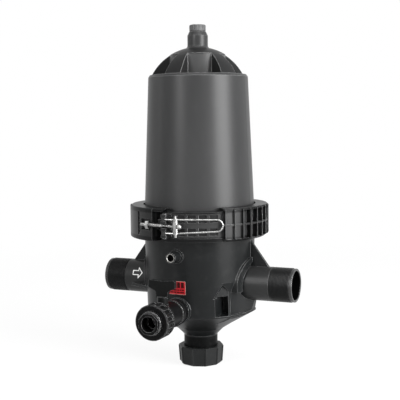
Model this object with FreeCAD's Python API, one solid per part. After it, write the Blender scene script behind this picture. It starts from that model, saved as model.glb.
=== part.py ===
import FreeCAD, Part
import math
import os

# Clamped in-line screen filter for two-inch irrigation pipe, millimetres.
# It is drawn about its upright main axis, with the pipe axis at height zero, +X along the
# flow and -Y to the front, and is moved at the end so that the inlet face is the origin.

Vector = FreeCAD.Vector
UP = Vector(0, 0, 1)
FRONT = Vector(0, -1, 0)
FLOW = Vector(1, 0, 0)

# Fits
shaft_clearance = 0.08
moving_gap = 0.4
seat_gap = 0.3
seal_slack = 0.02
bury = 2.0
overlap = 1.0
edge_match = 0.01

# Pipe nipples
inlet_reach = 179.0
outlet_reach = 179.0
pipe_radius = 29.8
pipe_bore = 24.5
thread_root = 28.4
thread_length = 41.0
thread_step = 1.0
bore_chamfer = 1.2
pad_radius = 45.5
pad_rim = 8.5
pad_height = 4.2
pad_floor_share = 0.3
pad_foot_z = -11.0

# Bowl of the lower body
wall = 6.0
bowl_top_radius = 98.0
bowl_foot_radius = 94.0
bowl_foot_z = -52.0
bowl_edge_round = 3.0
cone_foot_radius = 42.0
cone_foot_z = -85.0
neck_radius = 30.0
neck_bore = 22.0
neck_top_z = -97.0
neck_end_z = -141.0
dimple_radius = 2.4
dimple_azimuth = 5.0
dimple_rise = 4.0

# Clamp joint between bowl and cover
parting_z = 109.3
flange_width = 10.0
flange_radius = bowl_top_radius + flange_width
flange_edge = 8.0
flange_slope = 0.6
seal_radius = 1.9
seal_circle = bowl_top_radius + 4.0

# Riser and outlet block inside the bowl
riser_radius = 48.0
riser_wall = 6.0
riser_floor_z = -44.0
riser_top_z = 75.0
spigot_radius = 45.0
spigot_length = 8.0
block_start = 50.0
block_top_z = 12.0
pocket_depth_y = 36.0

# Webs, panel, pocket and keel around the pipe roots
web_thickness = 5.0
web_top_reach = 97.0
web_top_z = 75.5
web_foot_reach = 130.5
side_web_thickness = 5.0
side_web_z = -14.0
side_web_reach = 125.0
side_web_width = 49.0
side_web_root = 82.0
panel_depth = 6.0
panel_start_azimuth = 46.5
panel_top_z = 8.0
panel_ledge_z = -9.0
panel_foot_z = -49.5
pocket_left_x = 59.2
pocket_right_x = 73.6
pocket_floor_z = -49.5
pocket_eave_z = -6.0
pocket_ridge_x = 69.5
pocket_ridge_z = 5.3
pocket_overhang = 2.5
pocket_eave_drop = 2.0
pocket_top_z = -16.0
recess_radius = 88.5
keel_top_z = -2.0
keel_root_x = 76.0
keel_root_y = 46.0
keel_tip_x = 106.0
keel_tip_y = 4.0
keel_tip_foot_x = 99.5
keel_hollow = 2.5
keel_batter = 1.0
keel_start_radius = 60.0
keel_drop = 2.2
keel_lip = 2.0
keel_lip_height = 4.0

# Cover
cover_wall = 5.5
cover_foot_radius = bowl_top_radius - 0.8
cover_shoulder_radius = 87.3
element_top_z = 346.0
roof_z = element_top_z + 8.0
cover_shoulder_z = roof_z + 4.0
shoulder_round = 2.8
ledge_z = cover_shoulder_z + 4.0
dome_radius = 92.8
dome_centre_z = ledge_z - 44.1
dome_core_radius = 48.0
window_count = 5
window_angle = 49.5
window_azimuth = 27.9
vent_boss_radius = 17.9
vent_boss_top_z = ledge_z + 68.0
vent_seat_z = vent_boss_top_z + 7.0
vent_seat_radius = 14.6
vent_boss_root_round = 5.0

# Vent cap
vent_thread_radius = 9.5
vent_thread_length = 18.0
vent_hole = 3.0
vent_seal_height = 1.2
vent_seal_inset = 1.0
vent_cap_radius = 14.3
vent_cap_height = 10.4
vent_grip_count = 12
vent_grip_depth = 0.9
vent_nib_radius = 2.2
vent_nib_height = 1.6
vent_cap_chamfer = 1.2
vent_grip_radius = 1.3
vent_grip_foot = 2.5

# Clamp band
band_depth = 14.4
band_radius = flange_radius + band_depth
band_core_radius = flange_radius + 5.0
band_half_height = 27.9
band_core_half_height = 22.5
band_lip_radius = bowl_top_radius + 1.8
band_rim = 4.0
block_round = 2.0
groove_gap = 0.48
groove_mouth_depth = 2.0
band_rim_radius = band_radius - 3.4
gap_azimuth = -12.8
left_end_azimuth = -17.0
right_end_azimuth = -8.6
block_end_azimuth = -66.0
plain_end_azimuth = 43.4
tongue_azimuth = -3.7
tongue_foot_azimuth = -8.0
fins_per_turn = 44
first_fin_azimuth = 44.6
fin_thickness = 2.2
fin_inset = 1.0
fin_toe = 6.4
fin_toe_height = 5.0
fin_head = 2.0
mid_rib = 2.6
mid_rib_depth = 9.0
mid_rib_radius = band_radius - 1.6
window_recess_depth = 2.4
strip_azimuth = -34.1
strip_angle = 3.2
strip_depth = 2.5
tongue_depth = 1.5
plain_rim = 2.0
plain_rim_height = 3.0
stretch_overlap = 0.5
edge_rib_start = 6.0
strip_foot = 9.0
strip_head = 7.0
bay_floor_radius = band_radius - 4.4
bay_count = 2
recess_count = 4
recess_width_angle = 7.2
recess_pitch_angle = 9.4
recess_first_azimuth = 4.0
window_recess_height = 13.0
window_recess_gap = 4.5
cut_overrun = 20.0

# Rear hinge of the band
hinge_radius = band_radius - 0.9
hinge_pin_radius = 3.2
knuckle_radius = 7.5
knuckle_half_height = 26.0
middle_knuckle_half_height = 9.5
hinge_end_angle = 4.6
hinge_web_gap = 1.5
hinge_web_angle = 3.0
hinge_web_share = 0.6
hinge_head = 2.0

# Latch
pivot_azimuth = -4.1
pivot_radius = band_radius + 2.6
pivot_pin_radius = 2.6
pivot_head_radius = 3.8
pivot_head_height = 1.5
ear_radius = 6.2
ear_thickness = 4.8
eye_radius = 5.0
eye_height = 5.8
eye_overlap = 0.3
leg_height = 11.4
tip_half_width = 9.8
wire_radius = 1.55
tip_azimuth = 42.4
tip_radius = band_radius - 2.2
trunnion_azimuth = 5.5
trunnion_pin_radius = 2.1
trunnion_radius = 4.6
trunnion_half_length = 17.6
trunnion_eye_radius = 4.4
trunnion_eye_height = 3.8
rod_line = band_radius - 1.3
rod_radius = 2.6
rod_stub = -33.6
rod_head_radius = 4.4
rod_head_offset = 4.6
rod_head_share = 0.7
rod_head_cut = 2.2
nut_flats = 13.0
nut_height = 6.0
washer_radius = 7.6
washer_height = 1.5
nut_wall = 4.0
nut_wall_gap = 0.5
nut_sides = 6
washer_pocket_gap = 0.6
rod_slot_gap = 0.7
rod_slot_run = 6.0
slot_half_height = 3.8
recess_half_height = 9.6
recess_length = 23.5

# Drain cap
cap_sides = 10
cap_top_z = -117.6
cap_top_radius = 39.6
cap_foot_radius = 37.6
cap_foot_z = -150.0
cap_floor = 5.0
cap_rib_radius = 1.6
drain_seal_height = 2.0
cap_foot_bevel = 2.0
cap_rib_inset = 0.6
cap_rib_foot = 2.5
drain_seal_inset = 1.0
drain_seal_lip = 3.0

# Pressure port
port_z = 55.6
port_tip = 122.0
port_boss_radius = 9.2
port_base_radius = 12.5
port_base_tip = 100.0
insert_radius = 7.3
port_hole = 5.8
port_throat = 3.0
insert_length = 16.0
insert_stand = 0.4
insert_chamfer = 0.5

# Flush valve on the front of the bowl
valve_z = -38.0
valve_bore = 10.5
valve_boss_radius = 22.5
valve_boss_tip = 100.0
adapter_radius = 16.5
adapter_depth = 14.0
adapter_collar_radius = 20.5
adapter_collar_length = 14.4
adapter_socket_depth = 8.0
valve_body_radius = 21.5
valve_cuff = 1.6
valve_cuff_length = 7.0
valve_thread_radius = 23.8
valve_thread_start = 163.0
valve_front = 170.0
ball_y = 153.0
ball_radius = 16.0
ball_seat_length = 5.0
ball_seat_slack = 0.05
ball_slot = 3.0
ball_slot_depth = 2.4
stem_tongue = 2.8
stem_tongue_height = 2.3
stem_top_cover = 2.0
stem_radius = 4.5
stem_boss_radius = 9.5
stem_boss_top_z = -15.2
handle_z = -14.8
handle_hub_radius = 9.0
handle_hub_height = 12.0
wing_span = 24.0
wing_root = 9.5
wing_corner_z = 12.0
wing_foot_z = -5.6
wing_foot_height = 12.0
wing_round = 2.5
wing_height = 30.5
wing_thickness = 6.5
nut_start = 168.0
nut_end = 195.0
nut_outer_radius = 27.0
nut_rim_radius = 29.2
nut_rim = 4.0
nut_chamfer = 1.2
nut_lobe_radius = 2.6
nut_lobe_count = 14
nut_lobe_stand = 0.4
connector_gap = 0.2
connector_flange = 5.0
connector_flange_inset = 0.8
connector_radius = 19.7
connector_tip = 206.0
connector_flats = 8
connector_flat_radius = 18.4
connector_flat_length = 5.2
connector_groove = 1.0
connector_groove_width = 1.4
connector_step_radius = 16.8
socket_radius = 12.6
socket_depth = 20.0
valve_seal_radius = 1.3

# Screen element
element_radius = 59.0
element_wall = 1.2
core_radius = 56.5
core_wall = 4.0
core_columns = 8
core_rows = 4
core_rib = 10.0
core_window_share = 0.72
spigot_stand = 1.0
element_slack = 0.1
element_cap_radius = 62.5
element_cap_height = 9.0
lift_ring_radius = 16.0
lift_ring_height = 7.4
lift_ring_wall = 4.0
element_cap_skirt = 4.0
element_cap_bevel = 2.0
element_cup_depth = 6.0
element_seal_depth = 2.2
element_seal_height = 3.0
element_seal_rise = 2.0


# A point at a radius and azimuth, where azimuth runs from the front towards +X
def polar(radius, azimuth, z=0.0):
    angle = math.radians(azimuth)
    return Vector(radius * math.sin(angle), -radius * math.cos(angle), z)


def face_from(points):
    return Part.Face(Part.makePolygon(points + [points[0]]))


# A solid turned from (radius, height) points, over all or part of a turn
def turned(points, start=0.0, end=360.0):
    profile = face_from([polar(r, start, z) for r, z in points])
    return profile.revolve(Vector(0, 0, 0), UP, end - start)


def prism_along_y(points, near, far):
    outline = face_from([Vector(x, near, z) for x, z in points])
    return outline.extrude(Vector(0, far - near, 0))


def prism_along_z(points, low, high):
    outline = face_from([Vector(x, y, low) for x, y in points])
    return outline.extrude(Vector(0, 0, high - low))


def bar(start, end, radius):
    run = end.sub(start)
    return Part.makeCylinder(radius, run.Length, start, run)


# A cylinder to the front of the main axis, between two distances from it
def front_bar(radius, near, far, z, x=0.0):
    return Part.makeCylinder(radius, far - near, Vector(x, -near, z), FRONT)


def ring(outer, inner, low, high, x=0.0, y=0.0):
    centre = Vector(x, y, low)
    disc = Part.makeCylinder(outer, high - low, centre, UP)
    return disc.cut(Part.makeCylinder(inner, high - low, centre, UP))


def front_ring(outer, inner, near, far, z):
    return front_bar(outer, near, far, z).cut(front_bar(inner, near, far, z))


def around(shape, count, pitch, first=0.0):
    copies = []
    for i in range(count):
        copy = shape.copy()
        copy.rotate(Vector(0, 0, 0), UP, first + i * pitch)
        copies.append(copy)
    return copies


# Rounds the circular edges that lie at the given (radius, height) places
def round_edges(solid, places, radius):
    edges = []
    for edge in solid.Edges:
        if not isinstance(edge.Curve, Part.Circle):
            continue
        for r, z in places:
            if max(abs(edge.Curve.Radius - r), abs(edge.Curve.Center.z - z)) < edge_match:
                edges.append(edge)
    return solid.makeFillet(radius, edges)


cone_slope = (bowl_foot_z - cone_foot_z) / (bowl_foot_radius - cone_foot_radius)


# Height of the bowl's underside cone at a radius
def cone_z(radius):
    return bowl_foot_z + cone_slope * (radius - bowl_foot_radius)


def flange_depth(radius):
    return flange_edge + flange_slope * (flange_radius - radius)


# Outer form of the bowl, with its side grown by a raised pad's height
def bowl_form(grow=0.0):
    top = parting_z - flange_depth(bowl_top_radius + grow)
    return turned([(0, parting_z), (flange_radius, parting_z),
                   (flange_radius, parting_z - flange_edge), (bowl_top_radius + grow, top),
                   (bowl_foot_radius + grow, cone_z(bowl_foot_radius + grow)),
                   (cone_foot_radius, cone_foot_z), (neck_radius, neck_top_z),
                   (neck_radius, neck_end_z), (0, neck_end_z)])


def bowl_cavity():
    lift = wall / math.cos(math.atan(cone_slope))
    side = bowl_foot_radius - wall
    throat = cone_foot_radius - wall
    return turned([(0, parting_z), (bowl_top_radius - wall, parting_z),
                   (side, cone_z(side) + lift), (throat, cone_z(throat) + lift),
                   (neck_bore, neck_top_z), (neck_bore, neck_end_z), (0, neck_end_z)])


def riser():
    top_z = riser_top_z - spigot_length
    tube = turned([(0, riser_floor_z), (riser_radius, riser_floor_z), (riser_radius, top_z),
                   (spigot_radius, top_z), (spigot_radius, riser_top_z), (0, riser_top_z)])
    run = outlet_reach - wall
    return tube.fuse(Part.makeCylinder(pipe_radius, run, Vector(0, 0, 0), FLOW))


def riser_bore():
    floor = riser_floor_z + riser_wall
    bore_radius = riser_radius - riser_wall
    tube = Part.makeCylinder(bore_radius, riser_top_z - floor, Vector(0, 0, floor), UP)
    return tube.fuse(Part.makeCylinder(pipe_bore, outlet_reach, Vector(0, 0, 0), FLOW))


# One nipple along +X, stepped down to the thread's root where it is screwed
def nipple(reach):
    start = bowl_foot_radius / 2
    thread_start = reach - thread_length
    profile = [(start, 0), (start, pipe_radius), (thread_start - thread_step, pipe_radius),
               (thread_start, thread_root), (reach, thread_root), (reach, 0)]
    outline = face_from([Vector(x, 0, r) for x, r in profile])
    return outline.revolve(Vector(0, 0, 0), FLOW, 360)


# Countersink at the mouth of a nipple's bore
def mouth(reach):
    return Part.makeCone(pipe_bore, pipe_bore + bore_chamfer, bore_chamfer,
                         Vector(reach - bore_chamfer, 0, 0), FLOW)


def mirrored_x(shape):
    return shape.mirror(Vector(0, 0, 0), FLOW)


def mirrored_y(shape):
    return shape.mirror(Vector(0, 0, 0), Vector(0, 1, 0))


# Upright web from the bowl's side down to the top of the nipple
def top_web():
    slope = (web_top_z - pipe_radius) / (web_foot_reach - web_top_reach)
    inside = bowl_foot_radius - wall / 2
    start_z = web_top_z + slope * (web_top_reach - inside)
    points = [(inside, start_z), (web_foot_reach, pipe_radius), (web_foot_reach, pipe_bore + bury),
              (inside, pipe_bore + bury)]
    return prism_along_y(points, -web_thickness / 2, web_thickness / 2)


# Level web at each side of the inlet pipe
def side_web():
    beside = pipe_radius - bury - overlap
    points = [(-side_web_reach, -beside), (-side_web_root, -side_web_width),
              (-side_web_root, -beside / 2), (-side_web_reach, -beside / 2)]
    web = prism_along_z(points, side_web_z, side_web_z + side_web_thickness)
    return web.fuse(mirrored_y(web))


# Raised rim round a pipe's root, with a lower floor inside it
def pad():
    start = Vector(bowl_foot_radius / 2, 0, 0)
    rim = Part.makeCylinder(pad_radius, bowl_top_radius, start, FLOW)
    floor = Part.makeCylinder(pad_radius - pad_rim, bowl_top_radius, start, FLOW)
    below = Part.makeBox(2 * bowl_top_radius, 2 * pad_radius, pad_radius,
                         Vector(0, -pad_radius, pad_foot_z - pad_radius))
    rim = rim.cut(floor).common(bowl_form(pad_height))
    return rim.fuse(floor.common(bowl_form(pad_height * pad_floor_share))).cut(below)


# Sunk panel round the outlet's underside, with a sloping brow, as one sector of a turn
def panel():
    def side(z):
        share = (z - bowl_foot_z) / (parting_z - bowl_foot_z)
        return bowl_foot_radius + share * (bowl_top_radius - bowl_foot_radius)

    outside = 2 * bowl_top_radius
    return turned([(side(panel_foot_z) - panel_depth, panel_foot_z), (outside, panel_foot_z),
                   (outside, panel_top_z), (side(panel_top_z), panel_top_z),
                   (side(panel_ledge_z) - panel_depth, panel_ledge_z)],
                  panel_start_azimuth, 180 - panel_start_azimuth)


# House-shaped recess with a deep square pocket in its lower part
def pocket():
    eave_left = pocket_eave_z - (pocket_ridge_x - pocket_left_x) - pocket_eave_drop
    points = [(pocket_left_x, pocket_floor_z), (pocket_right_x, pocket_floor_z),
              (pocket_right_x, pocket_eave_z), (pocket_ridge_x, pocket_ridge_z),
              (pocket_left_x - pocket_overhang, eave_left), (pocket_left_x, eave_left)]
    house = prism_along_y(points, -2 * bowl_top_radius, 0)
    house = house.cut(Part.makeCylinder(recess_radius, 4 * bowl_top_radius,
                                        Vector(0, 0, -2 * bowl_top_radius), UP))
    hole = Part.makeBox(pocket_right_x - pocket_left_x, 2 * bowl_top_radius,
                        pocket_top_z - pocket_floor_z,
                        Vector(pocket_left_x, -2 * bowl_top_radius - pocket_depth_y,
                               pocket_floor_z))
    niche = house.fuse(hole)
    return niche.fuse(mirrored_y(niche))


# Keel under the outlet, hollowed at its sides, on a cone a little flatter than the bowl's
def keel_plan(grow):
    root = Vector(keel_root_x, -keel_root_y - grow, 0)
    tip = Vector(keel_tip_x + grow, -keel_tip_y - grow, 0)
    middle = root.add(tip).multiply(0.5).add(Vector(-keel_hollow, keel_hollow / 2, 0))
    corners = [Vector(v.x, -v.y, 0) for v in (tip, middle, root)]
    back = [Vector(block_start, corners[2].y, 0), Vector(block_start, root.y, 0)]
    edges = [Part.Arc(root, middle, tip).toShape(), Part.makeLine(tip, corners[0]),
             Part.Arc(*corners).toShape(), Part.makeLine(corners[2], back[0]),
             Part.makeLine(back[0], back[1]), Part.makeLine(back[1], root)]
    return Part.Face(Part.Wire(edges))


def keel():
    slope = cone_slope - keel_drop / (keel_tip_foot_x - keel_start_radius)

    def under_z(radius):
        return cone_z(keel_start_radius) + slope * (radius - keel_start_radius)

    deep = under_z(block_start)
    plan = keel_plan(0.0)
    plan.translate(Vector(0, 0, deep))
    body = plan.extrude(Vector(0, 0, keel_top_z - deep))
    side = prism_along_y([(block_start, keel_top_z), (keel_tip_x, keel_top_z),
                          (keel_tip_x - keel_batter, -pipe_radius),
                          (keel_tip_foot_x, under_z(keel_tip_foot_x)),
                          (block_start, deep)], -bowl_top_radius, bowl_top_radius)
    reach = bowl_top_radius * 2
    low = under_z(0)
    high = under_z(reach)
    above_cone = turned([(0, low), (reach, high), (reach, reach), (0, reach)])
    lip = keel_plan(keel_lip)
    lip.translate(Vector(0, 0, deep))
    lip = lip.extrude(Vector(0, 0, keel_top_z - deep))
    skin = turned([(0, low), (reach, high), (reach, high + keel_lip_height),
                   (0, low + keel_lip_height)])
    trim = Part.makeCylinder(keel_tip_foot_x + keel_lip, 4 * reach, Vector(0, 0, -2 * reach), UP)
    return body.common(side).common(above_cone).fuse(lip.common(skin).common(trim))


def outlet_block():
    half = bowl_top_radius
    block = Part.makeBox(half, 2 * half, block_top_z - cone_foot_z,
                         Vector(block_start, -half, cone_foot_z))
    return block.common(bowl_form())


def make_lower_body():
    shell = round_edges(bowl_form(), [(bowl_foot_radius, bowl_foot_z)], bowl_edge_round)
    outer = shell.cut(panel()).multiFuse([pad(), mirrored_x(pad()),
                             front_bar(port_base_radius, riser_radius, port_base_tip, port_z),
                             front_bar(port_boss_radius, riser_radius, port_tip, port_z),
                             front_bar(valve_boss_radius, bowl_foot_radius - 2 * wall,
                                       valve_boss_tip, valve_z)])
    outer = outer.fuse(keel()).fuse(nipple(outlet_reach)).fuse(mirrored_x(nipple(inlet_reach)))
    outer = outer.multiFuse([top_web(), mirrored_x(top_web()), side_web()])
    boss_inside = front_bar(valve_boss_radius, bowl_foot_radius - 2 * wall, bowl_foot_radius,
                            valve_z)
    hollow = bowl_cavity().cut(boss_inside)
    hollow = hollow.cut(outlet_block()).cut(riser())
    body = outer.cut(hollow).cut(pocket()).cut(riser_bore())
    body = body.cut(mouth(outlet_reach)).cut(mirrored_x(mouth(inlet_reach)))
    inlet = Part.makeCylinder(pipe_bore, inlet_reach, Vector(-inlet_reach, 0, 0), FLOW)
    inlet_stop = Part.makeCylinder(riser_radius + seal_slack, 4 * pipe_radius,
                                   Vector(0, 0, -2 * pipe_radius), UP)
    body = body.cut(inlet.cut(inlet_stop))
    body = body.cut(front_bar(port_throat, riser_radius + wall, port_tip, port_z))
    body = body.cut(front_bar(insert_radius, port_tip - insert_length, port_tip, port_z))
    body = body.cut(front_bar(valve_bore, riser_radius + wall, valve_boss_tip, valve_z))
    body = body.cut(front_bar(adapter_radius + shaft_clearance, valve_boss_tip - adapter_depth,
                              valve_boss_tip, valve_z))
    groove = ring(seal_circle + seal_radius, seal_circle - seal_radius,
                  parting_z - 2 * seal_radius, parting_z)
    dimple_z = cone_foot_z + dimple_rise
    dimple = bar(polar(neck_radius, dimple_azimuth, dimple_z),
                 polar(cone_foot_radius, dimple_azimuth, dimple_z), dimple_radius)
    return body.cut(groove).cut(dimple)


def make_cover_seal():
    centre = Vector(0, 0, parting_z - seal_radius)
    return Part.makeTorus(seal_circle, seal_radius - seal_slack, centre, UP)


# Turned outer form of the cover, with the dome as one true arc
def cover_form():
    def at(r, z):
        return Vector(r, 0, z)

    def dome_z(r):
        return dome_centre_z + math.sqrt(dome_radius ** 2 - r ** 2)

    dome_foot = math.sqrt(dome_radius ** 2 - (ledge_z - dome_centre_z) ** 2)
    middle = (vent_boss_radius + dome_foot) / 2
    edge = cover_shoulder_radius
    foot_z = parting_z + flange_depth(cover_foot_radius)
    points = [at(dome_foot, ledge_z), at(edge - shoulder_round, ledge_z), at(edge, cover_shoulder_z),
              at(cover_foot_radius, foot_z), at(flange_radius, parting_z + flange_edge),
              at(flange_radius, parting_z), at(0, parting_z), at(0, vent_seat_z),
              at(vent_seat_radius, vent_seat_z), at(vent_boss_radius, vent_boss_top_z),
              at(vent_boss_radius, dome_z(vent_boss_radius))]
    edges = [Part.makeLine(a, b) for a, b in zip(points, points[1:])]
    edges.append(Part.Arc(points[-1], at(middle, dome_z(middle)), points[0]).toShape())
    form = Part.Face(Part.Wire(edges)).revolve(Vector(0, 0, 0), UP, 360)
    return round_edges(form, [(vent_boss_radius, dome_z(vent_boss_radius))], vent_boss_root_round)


def dome_windows():
    half = window_angle / 2
    pitch = 360.0 / window_count
    top = vent_boss_top_z
    first = turned([(dome_core_radius, ledge_z), (2 * dome_radius, ledge_z), (2 * dome_radius, top),
                    (dome_core_radius, top)], window_azimuth - half, window_azimuth + half)
    return around(first, window_count, pitch)


def cover_cavity():
    taper = (cover_foot_radius - cover_shoulder_radius) / (cover_shoulder_z - parting_z)
    roof_radius = cover_shoulder_radius - cover_wall + taper * (cover_shoulder_z - roof_z)
    core = dome_core_radius - cover_wall
    core_top = dome_centre_z + math.sqrt(dome_radius ** 2 - core ** 2) - cover_wall
    chamber = turned([(0, parting_z), (cover_foot_radius - cover_wall, parting_z),
                      (roof_radius, roof_z), (core, roof_z), (core, core_top), (0, core_top)])
    bore = Part.makeCylinder(vent_thread_radius + shaft_clearance, vent_seat_z - core_top,
                             Vector(0, 0, core_top), UP)
    return chamber.fuse(bore)


def make_cover():
    return cover_form().cut(Part.Compound(dome_windows())).cut(cover_cavity())


def make_vent_seal():
    return ring(vent_seat_radius - vent_seal_inset, vent_thread_radius + seat_gap, vent_seat_z,
                vent_seat_z + vent_seal_height)


def make_vent_cap():
    low = vent_seat_z + vent_seal_height
    high = low + vent_cap_height
    head = turned([(0, low), (vent_cap_radius, low), (vent_cap_radius, high - vent_cap_chamfer),
                   (vent_cap_radius - vent_cap_chamfer, high), (0, high)])
    flute = Part.makeCylinder(vent_grip_radius, vent_cap_height,
                              polar(vent_cap_radius + vent_grip_radius - vent_grip_depth, 0,
                                    low + vent_grip_foot), UP)
    head = head.cut(Part.Compound(around(flute, vent_grip_count, 360.0 / vent_grip_count)))
    shank = Part.makeCylinder(vent_thread_radius, vent_thread_length,
                              Vector(0, 0, low - vent_thread_length), UP)
    nib = Part.makeCylinder(vent_nib_radius, vent_nib_height, polar(vent_cap_radius / 2, -90, high), UP)
    hole = Part.makeCylinder(vent_hole, vent_thread_length,
                             Vector(0, 0, low - vent_thread_length), UP)
    return head.fuse(shank).fuse(nib).cut(hole)


band_low_z = parting_z - band_half_height
band_high_z = parting_z + band_half_height
plain_low_z = parting_z - band_core_half_height
plain_high_z = parting_z + band_core_half_height
hinge_azimuth = gap_azimuth + 180.0
fin_pitch = 360.0 / fins_per_turn


# Depth of the band's inner groove at a radius, with its gap to the flanges
def groove_depth(radius):
    return flange_depth(radius) + groove_gap


def groove_form(start, end):
    inner = flange_radius + moving_gap
    mouth = band_lip_radius - groove_mouth_depth
    return turned([(mouth, parting_z - groove_depth(mouth)), (inner, parting_z - groove_depth(inner)),
                   (inner, parting_z + groove_depth(inner)), (mouth, parting_z + groove_depth(mouth))],
                  start, end)


def arc_block(inner, outer, low, high, start, end):
    return turned([(inner, low), (outer, low), (outer, high), (inner, high)], start, end)


# Finned stretch of the band: core, two rims, a mid rib and upright fins
def finned_stretch(start, end, first_fin, direction):
    low, high = band_low_z, band_high_z
    pieces = [arc_block(band_lip_radius, band_rim_radius, high - band_rim, high, start, end),
              turned([(band_lip_radius, low), (band_rim_radius - band_rim, low),
                      (band_rim_radius, low + band_rim), (band_lip_radius, low + band_rim)],
                     start, end),
              arc_block(mid_rib_radius - mid_rib_depth, mid_rib_radius, parting_z - mid_rib / 2,
                        parting_z + mid_rib / 2, start, end)]
    root = band_core_radius - bury
    foot = low + fin_inset
    head = high - fin_inset
    profile = [(root, foot), (band_radius - fin_toe, foot), (band_radius, low + fin_toe_height),
               (band_radius, head - fin_head), (band_radius - fin_head, head), (root, head)]
    fin = face_from([Vector(fin_thickness / 2, -r, z) for r, z in profile])
    fin = fin.extrude(Vector(-fin_thickness, 0, 0))
    count = int(abs(end - start) / fin_pitch)
    pieces += around(fin, count, direction * fin_pitch, first_fin)
    core = arc_block(band_lip_radius, band_core_radius, low, high, start, end)
    return core.multiFuse(pieces)


def knuckle(low, high, body_side):
    centre = polar(hinge_radius, hinge_azimuth)
    barrel = Part.makeCylinder(knuckle_radius, high - low, Vector(centre.x, centre.y, low), UP)
    side = hinge_azimuth + body_side * (hinge_end_angle + hinge_web_angle)
    near = polar(flange_radius + hinge_web_gap, hinge_azimuth)
    far = polar(flange_radius + hinge_web_gap, side)
    out = polar(hinge_radius + knuckle_radius * hinge_web_share, side)
    tip = polar(hinge_radius, hinge_azimuth)
    web = prism_along_z([(near.x, near.y), (far.x, far.y), (out.x, out.y), (tip.x, tip.y)], low, high)
    return barrel.fuse(web)


def hinge_relief(low, high):
    centre = polar(hinge_radius, hinge_azimuth)
    return Part.makeCylinder(knuckle_radius + moving_gap, high - low,
                             Vector(centre.x, centre.y, low), UP)


def hinge_bore():
    centre = polar(hinge_radius, hinge_azimuth, band_low_z)
    return Part.makeCylinder(hinge_pin_radius + shaft_clearance, 2 * band_half_height, centre, UP)


knuckle_low_z = parting_z - knuckle_half_height
knuckle_high_z = parting_z + knuckle_half_height
middle_low_z = parting_z - middle_knuckle_half_height
middle_high_z = parting_z + middle_knuckle_half_height

rod_direction = polar(1, gap_azimuth + 90)
rod_foot = polar(rod_line, gap_azimuth, parting_z)


# A point along the rod's straight line, from its foot nearest the main axis
def rod_point(along):
    return rod_foot.add(Vector(rod_direction).multiply(along))


wall_right = -rod_line * math.tan(math.radians(gap_azimuth - left_end_azimuth))
wall_left = wall_right - nut_wall
washer_start = wall_left - nut_wall_gap - washer_height
nut_begin = washer_start - nut_height


# A block along the rod's line that is open outwards
def rod_box(start, end, depth, half_height):
    size = 4 * washer_radius
    box = Part.makeBox(end - start, size, 2 * half_height, Vector(start, -depth, -half_height))
    turn = FreeCAD.Rotation(UP, gap_azimuth)
    flip = FreeCAD.Rotation(FLOW, 180)
    box.Placement = FreeCAD.Placement(rod_foot, turn.multiply(flip))
    return box


def make_band_left():
    start = block_end_azimuth
    end = left_end_azimuth
    block = arc_block(band_lip_radius, band_radius, band_low_z, band_high_z, start, end)
    edges = [e for e in block.Edges if isinstance(e.Curve, Part.Circle)
             and abs(e.Curve.Radius - band_radius) < edge_match]
    block = block.makeFillet(block_round, edges)
    block = block.cut(rod_box(wall_left - recess_length, wall_left,
                              washer_radius + washer_pocket_gap, recess_half_height))
    block = block.cut(rod_box(wall_left - overlap, wall_right + rod_slot_run,
                              rod_radius + rod_slot_gap, slot_half_height))
    half = strip_angle / 2
    strip = arc_block(band_radius - strip_depth, band_radius + overlap, band_low_z + strip_foot,
                      band_high_z - strip_head, strip_azimuth - half, strip_azimuth + half)
    tongue = arc_block(band_lip_radius, band_radius - tongue_depth, plain_high_z + moving_gap,
                       band_high_z, end - overlap, tongue_azimuth)
    rim = band_radius
    foot = polar(rim, tongue_foot_azimuth)
    tip = polar(rim, tongue_azimuth)
    low = plain_high_z
    beyond = tip.x + band_half_height
    bevel = prism_along_y([(foot.x, low), (beyond, low), (beyond, band_high_z),
                           (tip.x, band_high_z)], -rim - bury, 0)
    first = 2 * gap_azimuth - first_fin_azimuth
    last = hinge_azimuth - 360 + hinge_end_angle
    fins = finned_stretch(last, start + stretch_overlap, first, -1)
    half_ring = block.cut(strip).fuse(tongue.cut(bevel)).fuse(fins)
    half_ring = half_ring.cut(groove_form(hinge_azimuth - 360 - overlap, end + cut_overrun))
    half_ring = half_ring.cut(hinge_relief(middle_low_z - moving_gap, middle_high_z + moving_gap))
    for low, high in ((knuckle_low_z, middle_low_z - moving_gap),
                      (middle_high_z + moving_gap, knuckle_high_z)):
        half_ring = half_ring.fuse(knuckle(low, high, 1))
    return half_ring.cut(hinge_bore()).removeSplitter()


def plain_recesses():
    cuts = []
    for row in (-1, 1):
        middle = parting_z + row * (window_recess_gap + window_recess_height / 2)
        for column in range(recess_count):
            start = recess_first_azimuth + column * recess_pitch_angle
            cuts.append(arc_block(band_core_radius - window_recess_depth, band_core_radius + overlap,
                                  middle - window_recess_height / 2,
                                  middle + window_recess_height / 2, start,
                                  start + recess_width_angle))
    return Part.Compound(cuts)


pivot = polar(pivot_radius, pivot_azimuth)


def ear(low):
    boss = Part.makeCylinder(ear_radius, ear_thickness, Vector(pivot.x, pivot.y, low), UP)
    side = Vector(math.cos(math.radians(pivot_azimuth)), math.sin(math.radians(pivot_azimuth)), 0)
    root = polar(band_core_radius - bury, pivot_azimuth)
    corners = []
    for place, sign in ((pivot, -1), (root, -1), (root, 1), (pivot, 1)):
        corners.append(place.add(Vector(side).multiply(sign * ear_radius)))
    web = prism_along_z([(c.x, c.y) for c in corners], low, low + ear_thickness)
    return boss.fuse(web)


# Lower faces of the four ears, two around each leg of the bail
def ear_floors():
    gap = eye_height / 2 + seat_gap
    floors = []
    for leg in (parting_z + leg_height, parting_z - leg_height):
        floors += [leg + gap, leg - gap - ear_thickness]
    return floors


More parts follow.
